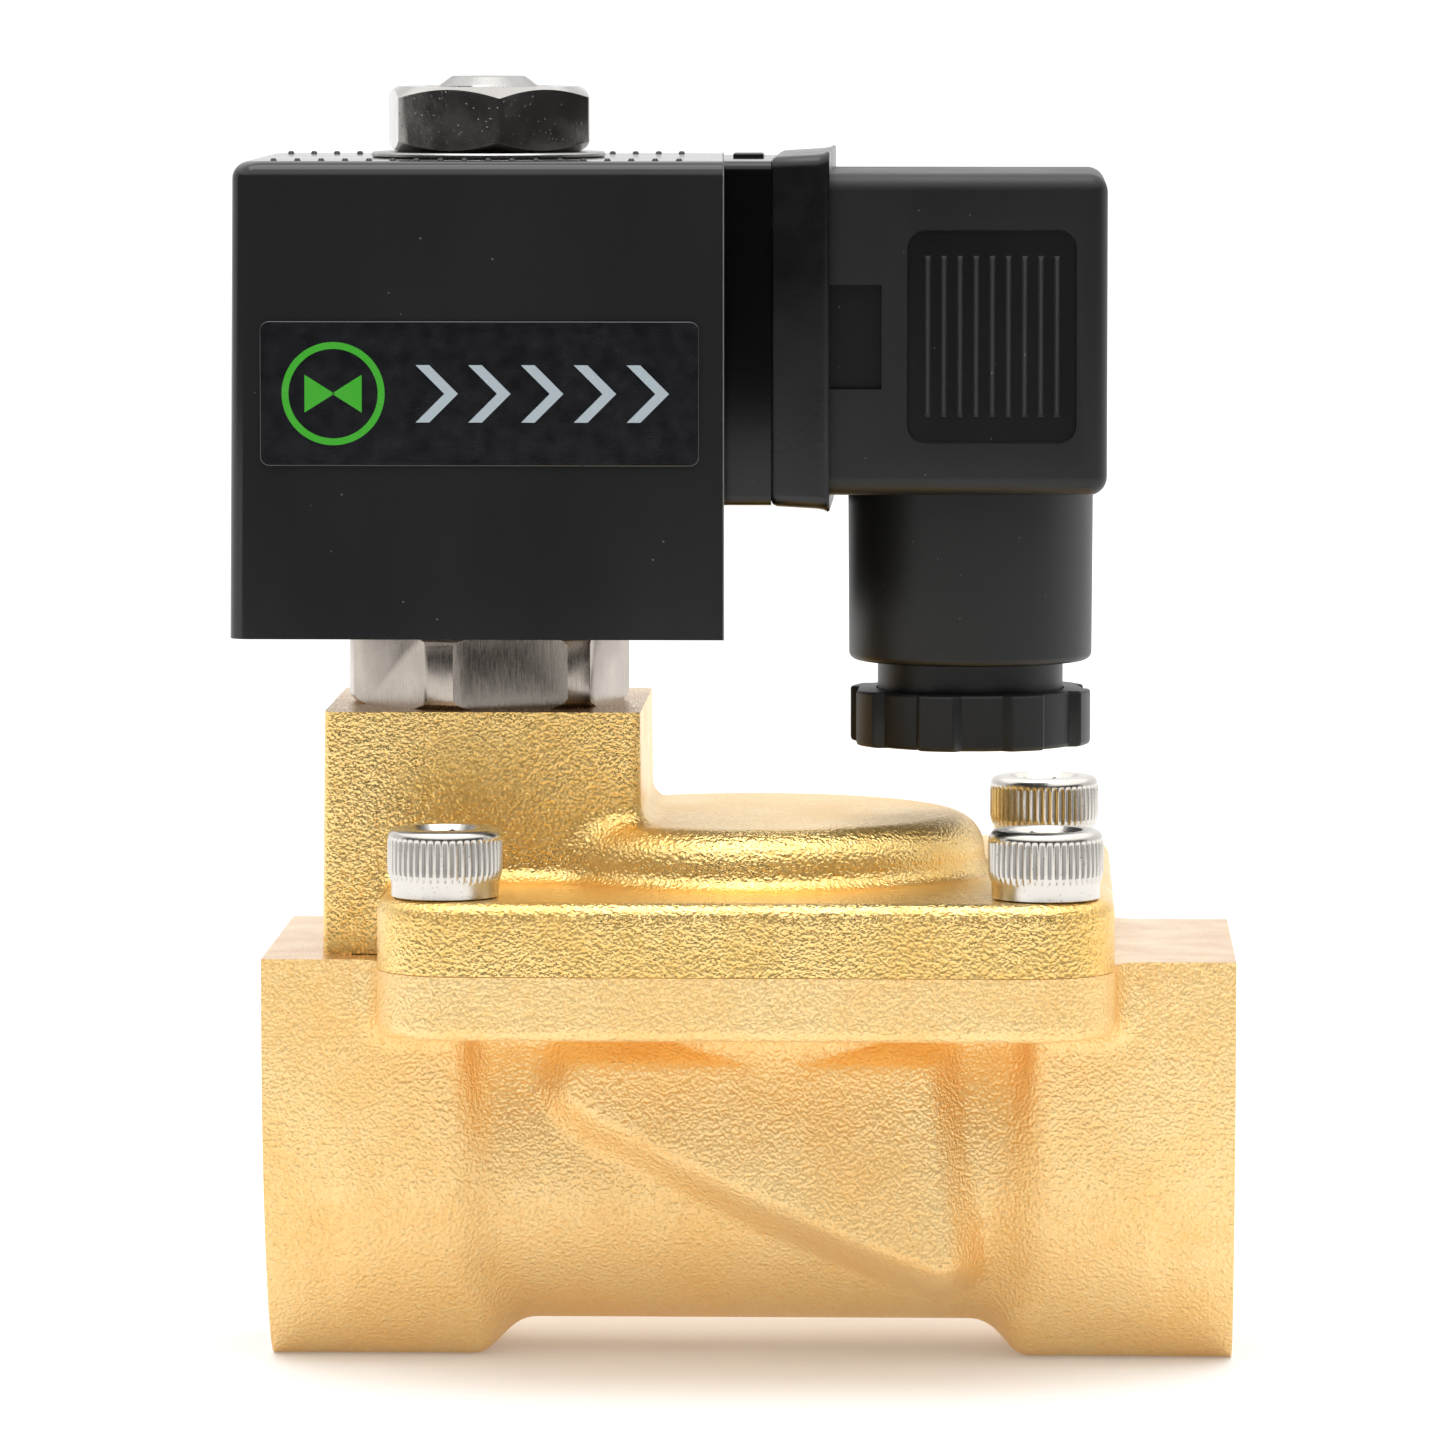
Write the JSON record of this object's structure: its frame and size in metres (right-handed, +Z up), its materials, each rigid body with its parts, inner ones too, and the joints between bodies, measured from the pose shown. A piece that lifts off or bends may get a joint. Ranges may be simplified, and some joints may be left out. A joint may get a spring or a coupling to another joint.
{
  "type": "solenoid valve",
  "caption": "Pilot-operated diaphragm solenoid valve with a brass body, threaded ports in line, a square bolted bonnet, a boxy coil on an offset tower and a square plug with a cable gland.",
  "frame": {"origin": "middle of the footprint, on the surface that the valve stands on", "axes": "+X along the pipe from outlet to inlet, +Y to the back, +Z up along the coil's tube"},
  "size_m": [0.0881, 0.064, 0.1136],
  "materials": {
    "body_brass": "sand-blasted casting with machined faces",
    "bonnet_brass": "blasted brass casting with machined faces",
    "nickel_plate": "nickel plated, satin",
    "steel": "turned stainless steel",
    "bright_brass": "turned brass",
    "copper": "enamelled copper wire",
    "black_plastic": "satin moulded nylon",
    "plug_plastic": "fine-textured moulded nylon",
    "black_rubber": "matt elastomer",
    "white_plastic": "natural nylon",
    "label_foil": "printed foil, semi-gloss"
  },
  "bodies": {
    "root": {"valve_body": "body_brass", "bonnet": "bonnet_brass", "bonnet_screw_1": "nickel_plate", "bonnet_screw_2": "nickel_plate", "bonnet_screw_3": "nickel_plate", "bonnet_screw_4": "nickel_plate", "tube_base": "nickel_plate", "lock_washer": "nickel_plate", "diaphragm": "black_rubber", "tube_o_ring": "black_rubber", "pilot_seat": "bright_brass", "main_spring": "steel", "guide_tube": "steel", "fixed_core": "steel", "plunger_spring": "steel", "shading_ring": "copper"},
    "plunger": {"plunger": "steel", "plunger_seal": "black_rubber"},
    "diaphragm_centre": {"diaphragm_plate": "bright_brass", "diaphragm_washer": "steel", "diaphragm_bolt": "steel", "diaphragm_nut": "steel"},
    "coil": {"coil_housing": "black_plastic", "coil_label": "label_foil", "coil_base_plate": "steel", "coil_yoke": "steel", "coil_bobbin": "white_plastic", "coil_winding": "copper", "neck_nut_insert": "bright_brass", "terminal_blade_line": "bright_brass", "terminal_blade_neutral": "bright_brass", "terminal_blade_earth": "bright_brass", "connector_gasket": "black_rubber"},
    "connector": {"connector_housing": "plug_plastic", "terminal_block": "plug_plastic", "terminal_socket_line": "bright_brass", "terminal_socket_neutral": "bright_brass", "terminal_socket_earth": "bright_brass", "terminal_screw_line": "steel", "terminal_screw_neutral": "steel", "terminal_screw_earth": "steel", "connector_screw": "steel", "connector_screw_seal": "black_rubber", "gland_grommet": "black_rubber", "gland_washer": "steel"},
    "gland_nut": {"gland_nut": "plug_plastic"},
    "top_nut": {"top_nut": "nickel_plate"}
  },
  "joints": [
    {"name": "plunger_lift", "type": "slide", "parent": "root", "child": "plunger", "axis": [0, 0, 1], "range_m": [0, 0.0024], "stiffness_N_per_m": 150, "springref_m": -0.008, "deforming": ["plunger_spring"]},
    {"name": "diaphragm_lift", "type": "slide", "parent": "root", "child": "diaphragm_centre", "axis": [0, 0, 1], "range_m": [0, 0.0035], "stiffness_N_per_m": 400, "springref_m": -0.008, "deforming": ["diaphragm", "main_spring"]},
    {"name": "coil_swivel", "type": "hinge", "parent": "root", "child": "coil", "pos_m": [-0.0222, 0, 0.0855], "axis": [0, 0, 1], "continuous": true},
    {"name": "connector_pull", "type": "slide", "parent": "coil", "child": "connector", "axis": [1, 0, 0], "range_m": [0, 0.016]},
    {"name": "gland_nut_turn", "type": "hinge", "parent": "connector", "child": "gland_nut", "pos_m": [0.0207, 0, 0.0568], "axis": [0, 0, 1], "continuous": true},
    {"name": "top_nut_turn", "type": "hinge", "parent": "root", "child": "top_nut", "pos_m": [-0.0222, 0, 0.1098], "axis": [0, 0, 1], "continuous": true}
  ]
}
